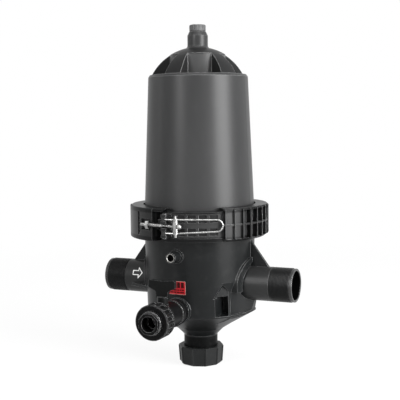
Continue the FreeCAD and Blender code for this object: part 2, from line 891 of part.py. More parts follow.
def make_band_right():
    start = right_end_azimuth
    end = plain_end_azimuth + stretch_overlap
    rim_radius = band_core_radius + plain_rim
    plain = arc_block(band_lip_radius, band_core_radius, plain_low_z - bury, plain_high_z, start, end)
    foot_rim = arc_block(band_lip_radius, rim_radius, band_low_z, plain_low_z + overlap, start, end)
    edge_rib = arc_block(band_core_radius - overlap, rim_radius, plain_high_z - plain_rim_height,
                         plain_high_z, pivot_azimuth + edge_rib_start, end)
    bays = arc_block(band_core_radius - overlap, bay_floor_radius, band_low_z + band_rim,
                     band_high_z - band_rim, first_fin_azimuth,
                     first_fin_azimuth + bay_count * fin_pitch)
    plain = plain.cut(plain_recesses()).multiFuse([foot_rim, edge_rib, bays])
    fins = finned_stretch(plain_end_azimuth, hinge_azimuth - hinge_end_angle, first_fin_azimuth, 1)
    half_ring = plain.fuse(fins).cut(groove_form(start - cut_overrun, hinge_azimuth + overlap))
    for low, high in ((knuckle_low_z, middle_low_z), (middle_high_z, knuckle_high_z)):
        half_ring = half_ring.cut(hinge_relief(low - moving_gap, high + moving_gap))
    half_ring = half_ring.fuse(knuckle(middle_low_z, middle_high_z, -1))
    half_ring = half_ring.multiFuse([ear(z) for z in ear_floors()])
    half_ring = half_ring.cut(hinge_bore())
    bore = Part.makeCylinder(pivot_pin_radius + shaft_clearance, 2 * band_half_height,
                             Vector(pivot.x, pivot.y, band_low_z), UP)
    return half_ring.cut(bore).removeSplitter()


def make_hinge_pin():
    centre = polar(hinge_radius, hinge_azimuth, knuckle_low_z)
    pin = Part.makeCylinder(hinge_pin_radius, 2 * knuckle_half_height, centre, UP)
    head = Part.makeCylinder(hinge_pin_radius + hinge_head, hinge_head,
                             centre.add(Vector(0, 0, 2 * knuckle_half_height)), UP)
    return pin.fuse(head)


# Two short pivot pins, headed at both ends, one through each pair of ears
def make_pivot_pins():
    reach = eye_height / 2 + seat_gap + ear_thickness
    pins = []
    for leg in (parting_z + leg_height, parting_z - leg_height):
        pin = Part.makeCylinder(pivot_pin_radius, 2 * reach, Vector(pivot.x, pivot.y, leg - reach), UP)
        outward = 1 if leg > parting_z else -1
        head_z = leg + outward * reach - (0 if outward > 0 else pivot_head_height)
        head = Part.makeCylinder(pivot_head_radius, pivot_head_height,
                                 Vector(pivot.x, pivot.y, head_z), UP)
        pins.append(pin.fuse(head))
    return Part.Compound(pins)


trunnion_line = rod_line / math.cos(math.radians(trunnion_azimuth - gap_azimuth))
trunnion = polar(trunnion_line, trunnion_azimuth)


# Wire bail: an eye at each pivot, a small eye at each trunnion end and a rounded tip
def make_bail():
    tip = polar(tip_radius, tip_azimuth, parting_z)
    knee = Vector(trunnion.x, trunnion.y, parting_z)
    run = tip.sub(knee).normalize()
    centre = tip.sub(Vector(run).multiply(tip_half_width))
    reach = centre.sub(knee).Length
    lean = math.acos(tip_half_width / math.hypot(reach, leg_height)) - math.atan2(reach, leg_height)
    forward = Vector(run).multiply(tip_half_width * math.sin(lean))
    rise = Vector(0, 0, tip_half_width * math.cos(lean))
    lift = Vector(0, 0, leg_height)
    upper = centre.add(forward).add(rise)
    lower = centre.add(forward).sub(rise)
    path = Part.Wire([Part.makeLine(knee.add(lift), upper), Part.Arc(upper, tip, lower).toShape(),
                      Part.makeLine(lower, knee.sub(lift))])
    section = Part.Wire(Part.makeCircle(wire_radius, knee.add(lift), upper.sub(knee.add(lift))))
    bail = path.makePipeShell([section], True, False)
    eye_side = Vector(pivot.x, pivot.y - eye_radius + wire_radius + eye_overlap, parting_z)
    bores = []
    for z in (leg_height, -leg_height):
        level = Vector(0, 0, z)
        bail = bail.fuse(bar(eye_side.add(level), knee.add(level), wire_radius))
        for place, radius, height, bore in ((pivot, eye_radius, eye_height, pivot_pin_radius),
                                            (trunnion, trunnion_eye_radius, trunnion_eye_height,
                                             trunnion_pin_radius)):
            low = Vector(place.x, place.y, parting_z + z - height / 2)
            bail = bail.fuse(Part.makeCylinder(radius, height, low, UP))
            bores.append(Part.makeCylinder(bore + shaft_clearance, height, low, UP))
    return bail.cut(Part.Compound(bores))


# Trunnion carried by the bail's small eyes, cross-drilled for the rod
def make_trunnion():
    z = parting_z
    shoulder = leg_height - trunnion_eye_height / 2 - seat_gap
    body = Part.makeCylinder(trunnion_radius, 2 * shoulder,
                             Vector(trunnion.x, trunnion.y, z - shoulder), UP)
    ends = Part.makeCylinder(trunnion_pin_radius, 2 * trunnion_half_length,
                             Vector(trunnion.x, trunnion.y, z - trunnion_half_length), UP)
    along = (trunnion_azimuth - gap_azimuth)
    start = rod_line * math.tan(math.radians(along))
    hole = bar(rod_point(start - 2 * trunnion_radius), rod_point(start + 2 * trunnion_radius),
               rod_radius + shaft_clearance)
    return body.fuse(ends).cut(hole)


# Screwed tension rod with a round head behind the trunnion
def make_rod():
    along = rod_line * math.tan(math.radians(trunnion_azimuth - gap_azimuth))
    head_start = along + rod_head_offset
    shank = bar(rod_point(rod_stub), rod_point(head_start), rod_radius)
    head = Part.makeSphere(rod_head_radius, rod_point(head_start + rod_head_radius * rod_head_share))
    face = bar(rod_point(head_start), rod_point(head_start + rod_head_cut * rod_head_radius),
               rod_head_radius)
    return shank.fuse(head.common(face))


def make_washer():
    disc = bar(rod_point(washer_start), rod_point(washer_start + washer_height), washer_radius)
    hole = bar(rod_point(washer_start - overlap), rod_point(wall_left), rod_radius + shaft_clearance)
    return disc.cut(hole)


def make_nut():
    corner = nut_flats / math.sqrt(3)
    points = []
    for i in range(nut_sides):
        angle = 2 * math.pi * i / nut_sides
        points.append(Vector(0, corner * math.cos(angle), corner * math.sin(angle)))
    nut = face_from(points).extrude(Vector(nut_height, 0, 0))
    nut.Placement = FreeCAD.Placement(rod_point(nut_begin), FreeCAD.Rotation(UP, gap_azimuth))
    hole = bar(rod_point(nut_begin - overlap), rod_point(washer_start + overlap),
               rod_radius + shaft_clearance)
    return nut.cut(hole)


# Ten-sided tapered cap with a rib along each corner
def make_drain_cap():
    def polygon(radius, z):
        step = 360.0 / cap_sides
        return [polar(radius, step * i, z) for i in range(cap_sides + 1)]

    wires = [Part.makePolygon(polygon(cap_foot_radius - cap_foot_bevel, cap_foot_z)),
             Part.makePolygon(polygon(cap_foot_radius, cap_foot_z + cap_foot_bevel)),
             Part.makePolygon(polygon(cap_top_radius, cap_top_z))]
    body = Part.makeLoft(wires, True, True)
    rib = bar(polar(cap_foot_radius - cap_rib_inset, 0, cap_foot_z + cap_rib_foot),
              polar(cap_top_radius - cap_rib_inset, 0, cap_top_z - cap_foot_bevel), cap_rib_radius)
    body = body.multiFuse(around(rib, cap_sides, 360.0 / cap_sides))
    bore = turned([(0, cap_foot_z + cap_floor), (neck_radius + seat_gap, cap_foot_z + cap_floor),
                   (neck_radius + seat_gap, cap_top_z + overlap), (0, cap_top_z + overlap)])
    return body.cut(bore)


def make_drain_seal():
    floor = cap_foot_z + cap_floor
    inner = neck_bore + drain_seal_inset
    middle = neck_end_z - drain_seal_height
    flat = ring(neck_radius - drain_seal_inset / 2, inner, middle, neck_end_z)
    return flat.fuse(ring(neck_bore + drain_seal_lip, inner, floor + seat_gap, middle))


def make_port_insert():
    tip = port_tip + insert_stand
    sleeve = front_ring(insert_radius, port_hole, port_tip - insert_length, tip, port_z)
    wide = port_hole + insert_chamfer
    return sleeve.cut(Part.makeCone(wide, port_hole, insert_chamfer, Vector(0, -tip, port_z),
                                    FRONT.negative()))


valve_body_start = valve_boss_tip + adapter_collar_length
ball_low = ball_y - ball_radius


# Nipple with a round collar between the bowl's boss and the valve
def make_adapter():
    near = valve_boss_tip - adapter_depth
    far = valve_body_start + adapter_socket_depth
    tube = front_bar(adapter_radius, near, far, valve_z)
    collar = front_bar(adapter_collar_radius, valve_boss_tip, valve_body_start, valve_z)
    return tube.fuse(collar).cut(front_bar(valve_bore, near, far, valve_z))


def make_valve_body():
    shell = front_bar(valve_body_radius, valve_body_start, valve_front, valve_z)
    shell = shell.fuse(front_bar(valve_thread_radius, valve_thread_start, valve_front, valve_z))
    shell = shell.fuse(front_bar(valve_body_radius + valve_cuff, valve_body_start,
                                 valve_body_start + valve_cuff_length, valve_z))
    boss = Part.makeCylinder(stem_boss_radius, stem_boss_top_z - valve_z,
                             Vector(0, -ball_y, valve_z), UP)
    shell = shell.fuse(boss)
    shell = shell.cut(front_bar(valve_bore, valve_body_start, valve_front, valve_z))
    shell = shell.cut(front_bar(adapter_radius + shaft_clearance, valve_body_start,
                                valve_body_start + adapter_socket_depth, valve_z))
    shell = shell.cut(front_bar(ball_radius + moving_gap, ball_low, valve_front, valve_z))
    stem_bore = Part.makeCylinder(stem_radius + shaft_clearance, stem_boss_top_z - valve_z,
                                  Vector(0, -ball_y, valve_z), UP)
    return shell.cut(stem_bore)


# Two seat rings hollowed to the ball
def make_ball_seats():
    outer = ball_radius + moving_gap - ball_seat_slack
    far = ball_y + ball_radius
    rings = [front_ring(outer, valve_bore, ball_low, ball_low + ball_seat_length, valve_z),
             front_ring(outer, valve_bore, far - ball_seat_length, far, valve_z)]
    ball = Part.makeSphere(ball_radius + shaft_clearance, Vector(0, -ball_y, valve_z))
    return Part.Compound([r.cut(ball) for r in rings])


def make_ball():
    ball = Part.makeSphere(ball_radius, Vector(0, -ball_y, valve_z))
    bore = Part.makeCylinder(valve_bore, 2 * ball_radius, Vector(-ball_radius, -ball_y, valve_z), FLOW)
    slot = Part.makeBox(2 * stem_radius, ball_slot, ball_slot,
                        Vector(-stem_radius, -ball_y - ball_slot / 2,
                               valve_z + ball_radius - ball_slot_depth))
    return ball.cut(bore).cut(slot)


def make_stem():
    low = valve_z + ball_radius + seat_gap
    stem = Part.makeCylinder(stem_radius, handle_z + handle_hub_height - stem_top_cover - low,
                             Vector(0, -ball_y, low), UP)
    half = stem_radius - overlap / 2
    tongue = Part.makeBox(2 * half, stem_tongue, ball_slot_depth,
                          Vector(-half, -ball_y - stem_tongue / 2, low - stem_tongue_height))
    return stem.fuse(tongue)


# Butterfly handle: a hub and two upright wings that clear the union nut when turned
def make_handle():
    hub = Part.makeCylinder(handle_hub_radius, handle_hub_height, Vector(0, -ball_y, handle_z), UP)
    low = wing_foot_z
    high = low + wing_height
    neck = handle_hub_radius / 2
    right = [(neck, low), (wing_root, low), (wing_root + bury, low + wing_foot_height),
             (wing_span, wing_corner_z), (wing_span, high - wing_round),
             (wing_span - wing_round, high), (neck, high - wing_round / 2)]
    left = [(-x, z) for x, z in reversed(right)]
    front = -ball_y - wing_thickness / 2
    wings = prism_along_y(right + left, front, front + wing_thickness)
    bore = Part.makeCylinder(stem_radius, handle_hub_height - stem_top_cover,
                             Vector(0, -ball_y, handle_z), UP)
    return hub.fuse(wings).cut(bore)


connector_start = valve_front + connector_gap
flange_end = connector_start + connector_flange


def make_connector():
    flange = front_bar(valve_thread_radius - connector_flange_inset, connector_start, flange_end,
                       valve_z)
    tube = front_bar(connector_radius, connector_start, connector_tip, valve_z)
    flats_start = connector_tip - connector_flat_length
    corners = []
    for i in range(connector_flats):
        angle = 2 * math.pi * (i + 0.5) / connector_flats
        corners.append(Vector(connector_flat_radius * math.cos(angle), -flats_start,
                              valve_z + connector_flat_radius * math.sin(angle)))
    flats = face_from(corners).extrude(Vector(0, -connector_flat_length, 0))
    tube = tube.cut(front_bar(connector_radius, flats_start, connector_tip, valve_z).cut(flats))
    tube = tube.cut(front_ring(connector_radius, connector_radius - connector_groove,
                               flats_start - connector_groove_width, flats_start, valve_z))
    body = flange.fuse(tube).cut(front_bar(valve_bore, connector_start, connector_tip, valve_z))
    body = body.cut(front_bar(socket_radius, connector_tip - socket_depth, connector_tip, valve_z))
    groove = front_ring(connector_step_radius + valve_seal_radius,
                        connector_step_radius - valve_seal_radius, connector_start,
                        connector_start + 2 * valve_seal_radius, valve_z)
    return body.cut(groove)


def make_valve_seal():
    centre = Vector(0, -connector_start - valve_seal_radius, valve_z)
    return Part.makeTorus(connector_step_radius, valve_seal_radius - seal_slack, centre, FRONT)


# Union nut with rounded grip lobes
def make_union_nut():
    rim = nut_rim_radius
    profile = [(nut_start, 0), (nut_start, rim), (nut_start + nut_rim, rim),
               (nut_start + nut_rim, nut_outer_radius), (nut_end - nut_rim, nut_outer_radius),
               (nut_end - nut_rim, rim), (nut_end - nut_chamfer, rim), (nut_end, rim - nut_chamfer),
               (nut_end, 0)]
    outline = face_from([Vector(0, -y, valve_z + r) for y, r in profile])
    shell = outline.revolve(Vector(0, 0, valve_z), FRONT, 360)
    lobes = []
    for i in range(nut_lobe_count):
        angle = 2 * math.pi * i / nut_lobe_count
        reach = nut_rim_radius - nut_lobe_radius + nut_lobe_stand
        lobes.append(front_bar(nut_lobe_radius, nut_start + nut_rim / 2, nut_end - nut_rim / 2,
                               valve_z + reach * math.sin(angle), reach * math.cos(angle)))
    shell = shell.multiFuse(lobes)
    inner = valve_thread_radius + seat_gap
    back = flange_end + seat_gap
    shell = shell.cut(front_bar(inner, nut_start, back, valve_z))
    return shell.cut(front_bar(connector_radius + seat_gap, back, nut_end, valve_z))


def make_element_core():
    low = riser_top_z + spigot_stand
    high = element_top_z - element_cap_height
    tube = ring(core_radius, core_radius - core_wall, low, high)
    pitch_z = (high - low - core_rib) / core_rows
    cuts = []
    for row in range(core_rows):
        base = low + core_rib + row * pitch_z
        half = 180.0 / core_columns * core_window_share
        window = arc_block(core_radius - core_wall - overlap, core_radius + overlap, base,
                           base + pitch_z - core_rib, -half, half)
        cuts += around(window, core_columns, 360.0 / core_columns)
    return tube.cut(Part.Compound(cuts))


def make_element_screen():
    return ring(element_radius, element_radius - element_wall, riser_top_z + spigot_stand,
                element_top_z - element_cap_height)


def make_element_base():
    low = riser_top_z - spigot_length
    rim = low + element_cap_height + element_cup_depth
    bore = spigot_radius + element_slack
    cup = ring(element_cap_radius, bore, low, rim)
    groove = ring(element_radius + element_slack, core_radius - core_wall - element_slack,
                  riser_top_z + spigot_stand, rim + overlap)
    seal_low = low + element_seal_rise
    seal_groove = ring(spigot_radius + element_seal_depth, bore, seal_low,
                       seal_low + element_seal_height)
    return cup.cut(groove).cut(seal_groove)


def make_element_seal():
    low = riser_top_z - spigot_length + element_seal_rise
    return ring(spigot_radius + element_seal_depth - element_slack,
                spigot_radius + element_slack / 2, low + element_slack,
                low + element_seal_height - element_slack)


def make_element_top():
    low = element_top_z - element_cap_height
    cap = turned([(0, low), (element_cap_radius, low - element_cap_skirt),
                  (element_cap_radius, element_top_z - element_cap_bevel),
                  (element_cap_radius - element_cap_bevel, element_top_z), (0, element_top_z)])
    groove = ring(element_radius + element_slack, core_radius - core_wall - element_slack,
                  low - element_cap_skirt - overlap, low)
    lift = ring(lift_ring_radius, lift_ring_radius - lift_ring_wall, element_top_z,
                element_top_z + lift_ring_height)
    return cap.cut(groove).fuse(lift)


makers = {
    "lower_body": make_lower_body,
    "cover": make_cover,
    "cover_seal": make_cover_seal,
    "vent_cap": make_vent_cap,
    "vent_seal": make_vent_seal,
    "band_left_half": make_band_left,
    "band_right_half": make_band_right,
    "band_hinge_pin": make_hinge_pin,
    "latch_pivot_pins": make_pivot_pins,
    "latch_bail": make_bail,
    "latch_trunnion": make_trunnion,
    "latch_rod": make_rod,
    "latch_washer": make_washer,
    "latch_nut": make_nut,
    "drain_cap": make_drain_cap,
    "drain_seal": make_drain_seal,
    "pressure_port_insert": make_port_insert,
    "valve_adapter": make_adapter,
    "valve_body": make_valve_body,
    "valve_ball_seats": make_ball_seats,
    "valve_ball": make_ball,
    "valve_stem": make_stem,
    "valve_handle": make_handle,
    "valve_end_connector": make_connector,
    "valve_seal": make_valve_seal,
    "valve_union_nut": make_union_nut,
    "element_core": make_element_core,
    "element_screen": make_element_screen,
    "element_base": make_element_base,
    "element_seal": make_element_seal,
    "element_top": make_element_top,
}

os.makedirs("parts", exist_ok=True)
for name, make in makers.items():
    shape = make()
    shape.translate(Vector(inlet_reach, 0, 0))
    shape.exportStep("parts/" + name + ".step")
    print(name, len(shape.Solids), "solids", round(shape.Volume / 1000, 1), "cm3", shape.isValid())
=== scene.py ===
import math
import bpy
from mathutils import Matrix, Vector


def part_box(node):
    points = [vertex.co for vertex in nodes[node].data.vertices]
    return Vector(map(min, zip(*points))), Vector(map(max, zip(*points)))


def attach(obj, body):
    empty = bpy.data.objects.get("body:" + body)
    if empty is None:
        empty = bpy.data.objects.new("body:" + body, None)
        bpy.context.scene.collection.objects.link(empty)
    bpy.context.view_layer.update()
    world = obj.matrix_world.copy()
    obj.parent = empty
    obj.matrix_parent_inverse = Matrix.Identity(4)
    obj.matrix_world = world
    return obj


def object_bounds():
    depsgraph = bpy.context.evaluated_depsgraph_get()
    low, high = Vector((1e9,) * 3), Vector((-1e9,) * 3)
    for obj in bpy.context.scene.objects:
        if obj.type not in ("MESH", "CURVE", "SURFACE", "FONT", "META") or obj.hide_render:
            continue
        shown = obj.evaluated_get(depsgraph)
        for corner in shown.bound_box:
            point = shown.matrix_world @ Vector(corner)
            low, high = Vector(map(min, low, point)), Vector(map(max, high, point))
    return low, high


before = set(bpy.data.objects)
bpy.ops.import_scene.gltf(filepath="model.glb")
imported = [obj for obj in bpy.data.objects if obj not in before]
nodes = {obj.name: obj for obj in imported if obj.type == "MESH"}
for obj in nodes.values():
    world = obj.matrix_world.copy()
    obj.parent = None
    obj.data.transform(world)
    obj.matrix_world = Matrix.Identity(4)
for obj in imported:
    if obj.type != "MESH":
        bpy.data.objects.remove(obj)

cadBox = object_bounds()
scene = bpy.context.scene
mm = 0.001


# a node's box in the frame, as its low and its high corner
def boxOf(node):
    low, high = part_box(node)
    return Vector(low), Vector(high)


bodyLow, bodyHigh = boxOf("lower_body")
bandLow, bandHigh = boxOf("band_right_half")
capLow, capHigh = boxOf("drain_cap")
axisX = (capLow.x + capHigh.x) / 2        # the upright main axis
nippleEnd = bodyHigh.x - axisX            # how far a nipple reaches from it
coverTop = boxOf("cover")[1].z
print("frame loaded, main axis at x =", round(axisX, 4))


# shader helpers: most give back the socket that holds their result
def newMaterial(name):
    mat = bpy.data.materials.new(name)
    mat.use_nodes = True
    return mat, mat.node_tree, mat.node_tree.nodes["Principled BSDF"]


def addNode(tree, kind, **sockets):
    node = tree.nodes.new(kind)
    for key, value in sockets.items():
        node.inputs[key.replace("_", " ")].default_value = value
    return node


# another node's result is linked to the socket, a number or a colour is written on it
def feed(tree, socket, value):
    if isinstance(value, bpy.types.NodeSocket):
        tree.links.new(value, socket)
    elif isinstance(value, tuple):
        socket.default_value = (*value, 1)
    else:
        socket.default_value = value


def calculate(tree, operation, *values):
    node = tree.nodes.new("ShaderNodeMath")
    node.operation = operation
    for socket, value in zip(node.inputs, values):
        feed(tree, socket, value)
    return node.outputs[0]


def multiply(tree, a, b):
    return calculate(tree, "MULTIPLY", a, b)


# a value's range low to high stretched to another one, without passing its ends
def remap(tree, value, low, high, toLow=0.0, toHigh=1.0):
    node = addNode(tree, "ShaderNodeMapRange", From_Min=low, From_Max=high, To_Min=toLow, To_Max=toHigh)
    tree.links.new(value, node.inputs["Value"])
    return node.outputs["Result"]


def blendColours(tree, factor, first, second):
    node = tree.nodes.new("ShaderNodeMix")
    node.data_type = "RGBA"
    tree.links.new(factor, node.inputs["Factor"])
    feed(tree, node.inputs[6], first)
    feed(tree, node.inputs[7], second)
    return node.outputs[2]


def noise(tree, coords, scale, detail, rough, stretch=None):
    if stretch:
        mapping = addNode(tree, "ShaderNodeMapping", Scale=stretch)
        tree.links.new(coords, mapping.inputs["Vector"])
        coords = mapping.outputs["Vector"]
    grains = addNode(tree, "ShaderNodeTexNoise", Scale=scale, Detail=detail, Roughness=rough)
    tree.links.new(coords, grains.inputs["Vector"])
    return grains.outputs["Fac"]


def objectCoords(tree):
    return tree.nodes.new("ShaderNodeTexCoord").outputs["Object"]


def partOf(tree, coords, axis):
    parts = tree.nodes.new("ShaderNodeSeparateXYZ")
    tree.links.new(coords, parts.inputs["Vector"])
    return parts.outputs[axis]


def lengthOf(tree, vector):
    node = tree.nodes.new("ShaderNodeVectorMath")
    node.operation = "LENGTH"
    tree.links.new(vector, node.inputs[0])
    return node.outputs["Value"]


# how far a point lies from a line through a place: kept is 0 along the line and 1 across it
def fromLine(tree, coords, place, kept):
    across = addNode(tree, "ShaderNodeMapping", Location=[-p * k for p, k in zip(place, kept)], Scale=kept)
    tree.links.new(coords, across.inputs["Vector"])
    return lengthOf(tree, across.outputs["Vector"])


# how far a value lies from a middle, either way
def distance(tree, value, middle):
    return calculate(tree, "ABSOLUTE", calculate(tree, "SUBTRACT", value, middle))


# 1 between two limits, fading to 0 just inside them
def between(tree, value, limits, fade):
    half = (limits[1] - limits[0]) / 2
    return remap(tree, distance(tree, value, limits[0] + half), half - fade, half, 1.0, 0.0)


# the surface's normal as if its edges were rounded over a width
def roundedNormal(tree, width):
    bevel = addNode(tree, "ShaderNodeBevel", Radius=width)
    bevel.samples = 4       # rays that feel for an edge
    return bevel.outputs["Normal"]


edgeLean = 0.8      # the two normals' product at which a place is all edge


# 1 along an edge, where the rounded normal leans away from the plain one, and 0 on a flat
def edgeMask(tree, rounded):
    dot = tree.nodes.new("ShaderNodeVectorMath")
    dot.operation = "DOT_PRODUCT"
    tree.links.new(rounded, dot.inputs[0])
    tree.links.new(tree.nodes.new("ShaderNodeNewGeometry").outputs["Normal"], dot.inputs[1])
    return remap(tree, dot.outputs["Value"], 1.0, edgeLean)


# fine relief from a height, laid over a normal when one is given
def addRelief(tree, shader, height, strength, depth, normal=None):
    bump = addNode(tree, "ShaderNodeBump", Strength=strength, Distance=depth)
    tree.links.new(height, bump.inputs["Height"])
    if normal is not None:
        tree.links.new(normal, bump.inputs["Normal"])
    tree.links.new(bump.outputs["Normal"], shader.inputs["Normal"])


# 1 for the rays that show a thing: from the camera, in a reflection or through clear material
def seenRays(tree):
    rays = tree.nodes.new("ShaderNodeLightPath").outputs
    indirect = calculate(tree, "MAXIMUM", rays["Is Glossy Ray"], rays["Is Transmission Ray"])
    return calculate(tree, "MAXIMUM", rays["Is Camera Ray"], indirect)


# 1 inside a ring about the main axis, a disc where its inner radius is below 0
def ringZone(tree, coords, zone):
    radius = fromLine(tree, coords, (axisX, 0, 0), (1, 1, 0))
    height = partOf(tree, coords, "Z")
    return multiply(tree, between(tree, radius, zone["radii"], zone["fade"]),
                    between(tree, height, zone["heights"], zone["fade"]))


pipeSkin = 0.4 * mm        # a pipe zone fades outward over this


# 1 in both nipples, within a radius of their axis and up to a depth from their ends
def pipeZone(tree, coords, zone):
    radius = fromLine(tree, coords, (0, 0, 0), (0, 1, 1))
    near = remap(tree, radius, zone["radius"], zone["radius"] + pipeSkin, 1.0, 0.0)
    start = nippleEnd - zone["depth"]
    far = remap(tree, distance(tree, partOf(tree, coords, "X"), axisX), start, start + zone["fade"])
    return multiply(tree, near, far)


# a zone's painted tone, standing for light and shade, over a colour, and the share of the shine that it
# leaves
def paintZone(tree, inZone, zone, colour):
    painted = blendColours(tree, multiply(tree, inZone, zone["amount"]), colour, zone["colour"])
    return painted, remap(tree, inZone, 0.0, 1.0, 1.0, zone["shine"])


# moulded plastic: charcoal with a fine grain, flow marks and some dust, with a painted highlight of paler
# colour along its edges and painted light and shade in zones
def mouldedPlastic(name, look):
    mat, tree, shader = newMaterial(name)
    coords = objectCoords(tree)
    rounded = roundedNormal(tree, look["edgeRound"])
    edge = edgeMask(tree, rounded)
    flow = noise(tree, coords, look["flowScale"], detail=4.0, rough=0.6, stretch=look["flowStretch"])
    dust = noise(tree, coords, look["dustScale"], detail=6.0, rough=0.7)
    grain = noise(tree, coords, look["grainScale"], detail=2.0, rough=0.5)
    colour = blendColours(tree, remap(tree, flow, *look["flowSpan"]), look["dark"], look["light"])
    shares = []
    # painted light and shade in rings about the main axis
    for zone in look.get("rings", ()):
        colour, share = paintZone(tree, ringZone(tree, coords, zone), zone, colour)
        shares.append(share)
    dusty = remap(tree, dust, *look["dustSpan"], toHigh=look["dustAmount"])
    colour = blendColours(tree, dusty, colour, look["dustColour"])
    # painted highlight: a paler colour laid along the edges, as if they caught the light
    colour = blendColours(tree, multiply(tree, edge, look["edgeHighlightShare"]), colour, look["edgeHighlight"])
    # painted light and shade on the nipples
    for zone in look.get("pipes", ()):
        colour, share = paintZone(tree, pipeZone(tree, coords, zone), zone, colour)
        shares.append(share)
    shine = remap(tree, edge, 0.0, 1.0, look["gloss"], look["edgeGloss"])
    for share in shares:
        shine = multiply(tree, shine, share)
    rough = remap(tree, flow, *look["roughSpan"], look["roughness"] - look["roughSpread"],
                  look["roughness"] + look["roughSpread"])
    rough = multiply(tree, rough, remap(tree, edge, 0.0, 1.0, 1.0, look["edgeRough"]))
    tree.links.new(colour, shader.inputs["Base Color"])
    tree.links.new(shine, shader.inputs["Specular IOR Level"])
    tree.links.new(rough, shader.inputs["Roughness"])
    addRelief(tree, shader, grain, look["grainStrength"], look["grainDepth"], rounded)
    return mat


# the plastic that all moulded pieces start from: a span is the part of a noise that is used
# the edge colour and its share give a painted highlight along edges
plainLook = dict(dark=(0.0043, 0.0048, 0.005), light=(0.006, 0.0065, 0.0067),
                 edgeHighlight=(0.11, 0.112, 0.113), edgeHighlightShare=0.75, edgeRound=0.9 * mm, edgeGloss=0.8,
                 edgeRough=0.8, dustColour=(0.03, 0.03, 0.03), dustAmount=0.25, dustScale=60.0,
                 dustSpan=(0.52, 0.8), flowScale=14.0, flowStretch=(1.0, 1.0, 0.25),
                 flowSpan=(0.3, 0.7), grainScale=1400.0, grainStrength=0.12, grainDepth=0.12 * mm,
                 roughness=0.34, roughSpread=0.03, roughSpan=(0.25, 0.75), gloss=0.14)

# the bowl's nipples, in from their ends: plain pipe (painted light), thread (plain tone), lip (painted
# highlight) and bore (painted shade)
nippleTones = [
    dict(depth=87.0 * mm, radius=30.5 * mm, fade=8.0 * mm, amount=0.9, shine=1.0,
         colour=(0.0165, 0.0167, 0.0167)),
    dict(depth=41.5 * mm, radius=31.0 * mm, fade=1.0 * mm, amount=1.0, shine=0.6,
         colour=(0.0058, 0.006, 0.0061)),
    dict(depth=5.5 * mm, radius=31.0 * mm, fade=0.5 * mm, amount=0.9, shine=3.0,
         colour=(0.022, 0.022, 0.022)),
    dict(depth=119.0 * mm, radius=25.0 * mm, fade=10.0 * mm, amount=1.0, shine=0.1,
         colour=(0.0012, 0.0012, 0.0012)),
]
# the bowl's neck, down from the start of its thread, darkened as painted shade
neckShade = dict(radii=(-32 * mm, 32 * mm), heights=(capLow.z, capHigh.z + 19.1 * mm), fade=0.8 * mm,
                amount=0.8, shine=0.3, colour=(0.0015, 0.0016, 0.0016))
housingLook = dict(plainLook, pipes=nippleTones, rings=[neckShade])

# the cover's dome, round its windows and above them, darkened as painted shade, and the plates at the backs
# of the windows, paler as painted light
domeShade = dict(fade=1.0 * mm, amount=0.75, shine=0.45, colour=(0.007, 0.0071, 0.0072))
coverTones = [
    dict(domeShade, radii=(50 * mm, 130 * mm), heights=(coverTop - 74.5 * mm, coverTop - 17 * mm)),
    dict(domeShade, radii=(24 * mm, 52 * mm), heights=(coverTop - 41.5 * mm, coverTop - 17 * mm)),
    dict(radii=(-50 * mm, 50 * mm), heights=(coverTop - 75 * mm, coverTop - 41 * mm), fade=1.0 * mm,
         amount=0.8, shine=0.9, colour=(0.036, 0.0362, 0.0365)),
]
coverLook = dict(plainLook, dark=(0.0165, 0.0167, 0.017), light=(0.021, 0.0212, 0.0215), roughness=0.37,
                 gloss=0.19, edgeHighlight=(0.32, 0.322, 0.324), edgeHighlightShare=0.9, edgeRound=1.1 * mm,
                 rings=coverTones)
ventLook = dict(coverLook, rings=(), dark=(0.055, 0.055, 0.056), light=(0.075, 0.075, 0.076),
                roughness=0.5, dustAmount=0.5, edgeHighlight=(0.1, 0.1, 0.101), edgeGloss=0.2)

# the clamp band's two rims, darkened as painted shade where they catch less light, and the wall behind its
# fins, paler as painted light
rimHeight = 8.2 * mm
rimShade = dict(radii=(80 * mm, 140 * mm), fade=1.2 * mm, amount=1.0, shine=0.45,
               colour=(0.0035, 0.0036, 0.0037))
bandTones = [
    dict(rimShade, heights=(bandHigh.z - rimHeight, bandHigh.z + rimHeight)),
    dict(rimShade, heights=(bandLow.z - rimHeight, bandLow.z + rimHeight)),
    dict(radii=(110.5 * mm, 114.2 * mm), heights=(bandLow.z + 7.6 * mm, bandHigh.z - 7.2 * mm),
         fade=0.5 * mm, amount=1.0, shine=1.0, colour=(0.018, 0.0182, 0.0183)),
]
bandLook = dict(plainLook, dark=(0.0033, 0.0034, 0.0035), light=(0.005, 0.0051, 0.0052), edgeHighlightShare=0.7,
                roughness=0.33, gloss=0.2, edgeGloss=0.9, edgeHighlight=(0.09, 0.091, 0.092),
                grainScale=1000.0, rings=bandTones)

capLook = dict(plainLook, dark=(0.006, 0.0065, 0.0066), light=(0.0085, 0.009, 0.0091), roughness=0.45,
               grainStrength=0.2, edgeHighlight=(0.008, 0.0084, 0.0085), edgeGloss=0.22)
valveLook = dict(plainLook, dark=(0.002, 0.002, 0.0021), light=(0.0032, 0.0032, 0.0033), roughness=0.35,
                 roughSpread=0.05, grainStrength=0.04, edgeHighlight=(0.2, 0.2, 0.202), edgeRound=0.8 * mm,
                 edgeHighlightShare=0.9, edgeRough=0.5, dustAmount=0.08, gloss=0.05, edgeGloss=0.9)
handleLook = dict(valveLook, dark=(0.0024, 0.0026, 0.0026), light=(0.0038, 0.004, 0.004), gloss=0.07,
                  edgeHighlight=(0.08, 0.082, 0.083))
pinLook = dict(plainLook, dark=(0.006, 0.006, 0.0062), light=(0.012, 0.012, 0.0122), roughness=0.25,
               gloss=0.5, edgeHighlight=(0.5, 0.5, 0.5), edgeHighlightShare=0.9, edgeGloss=1.0, edgeRound=0.5 * mm,
               dustAmount=0.1)
